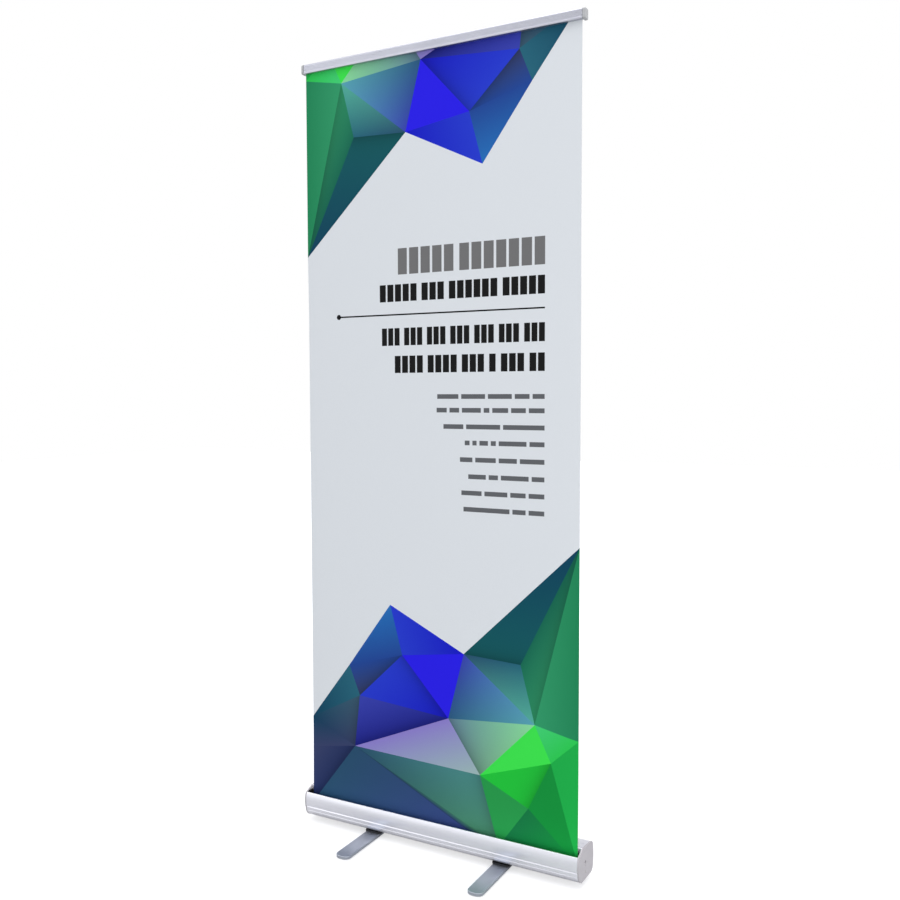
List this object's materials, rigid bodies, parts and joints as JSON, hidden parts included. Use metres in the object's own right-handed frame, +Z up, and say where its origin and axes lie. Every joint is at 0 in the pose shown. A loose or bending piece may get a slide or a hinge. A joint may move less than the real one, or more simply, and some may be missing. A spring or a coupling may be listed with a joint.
{
  "type": "roll-up banner stand",
  "caption": "Free-standing roll-up display: a spring-roller cassette on swivelling feet, a printed film pulled up to a clamping top rail, and a jointed pole behind it.",
  "frame": {"origin": "on the floor, midway along the width, in the plane of the two foot pivots", "axes": "+Z up, -Y towards the printed front, +X to the right of someone who stands behind the stand's print plane looking along +Y at its front"},
  "size_m": [0.824, 0.36, 2.1093],
  "materials": {
    "anodised_silver": "satin anodised extrusion",
    "rail_silver": "satin anodised, lightly ribbed",
    "foot_aluminium": "satin flat bar",
    "tube_aluminium": "drawn tube",
    "cap_plastic": "moulded, fine grain",
    "rail_cap_plastic": "moulded, smooth",
    "black_plastic": "moulded",
    "zinc_steel": "zinc plated",
    "dark_steel": "oiled, nearly black",
    "rubber": "matt",
    "leader_film": "clear film over adhesive",
    "cord": "braided elastic cord",
    "print_film": "printed film, semi-matt"
  },
  "bodies": {
    "base": {"cassette": "anodised_silver", "left_end_cap": "cap_plastic", "right_end_cap": "cap_plastic", "end_cap_screws": "zinc_steel", "slot_liner": "black_plastic", "mouth_plugs": "black_plastic", "spring_shaft": "dark_steel", "idle_pin": "dark_steel", "foot_spacers": "black_plastic", "pivot_bolts": "zinc_steel", "pivot_washers": "zinc_steel", "pivot_nuts": "zinc_steel", "pole_socket": "black_plastic", "socket_screws": "zinc_steel"},
    "roller": {"roller_tube": "tube_aluminium", "leader_wrap": "leader_film", "torsion_spring": "dark_steel", "spring_plug": "black_plastic", "drive_end_bush": "black_plastic", "idle_end_plug": "black_plastic"},
    "left_foot": {"left_foot_bar": "foot_aluminium", "left_foot_pads": "rubber"},
    "right_foot": {"right_foot_bar": "foot_aluminium", "right_foot_pads": "rubber"},
    "pole": {"pole_lower": "tube_aluminium", "pole_middle": "tube_aluminium", "pole_upper": "tube_aluminium", "pole_ferrules": "tube_aluminium", "pole_foot_plug": "black_plastic", "shock_cord": "cord", "pole_hook": "black_plastic"},
    "top_rail": {"rail_back": "rail_silver", "left_rail_cap": "rail_cap_plastic", "right_rail_cap": "rail_cap_plastic", "banner": "print_film"},
    "rail_clamp": {"rail_jaw": "rail_silver"}
  },
  "joints": [
    {"name": "left_foot_swing", "type": "hinge", "parent": "base", "child": "left_foot", "pos_m": [-0.194, 0, 0.006], "axis": [0, 0, 1], "range_deg": [0, 90]},
    {"name": "right_foot_swing", "type": "hinge", "parent": "base", "child": "right_foot", "pos_m": [0.194, 0, 0.006], "axis": [0, 0, 1], "range_deg": [-90, 0]},
    {"name": "banner_retract", "type": "slide", "parent": "base", "child": "top_rail", "axis": [0, 0, 1], "range_m": [-1.984, 0], "deforming": ["banner"]},
    {"name": "roller_spin", "type": "hinge", "parent": "base", "child": "roller", "pos_m": [0, 0.004, 0.057], "axis": [1, 0, 0], "range_deg": [0, 6316.3]},
    {"name": "clamp_open", "type": "hinge", "parent": "top_rail", "child": "rail_clamp", "pos_m": [0, -0.0165, 2.105], "axis": [-1, 0, 0], "range_deg": [0, 60]},
    {"name": "pole_lean", "type": "hinge", "parent": "base", "child": "pole", "pos_m": [0, 0.033, 0.0454], "axis": [-1, 0, 0], "range_deg": [0, 2]}
  ],
  "couplings": [
    {"joint": "roller_spin", "follows": "banner_retract", "rad_per_m": -55.556}
  ]
}
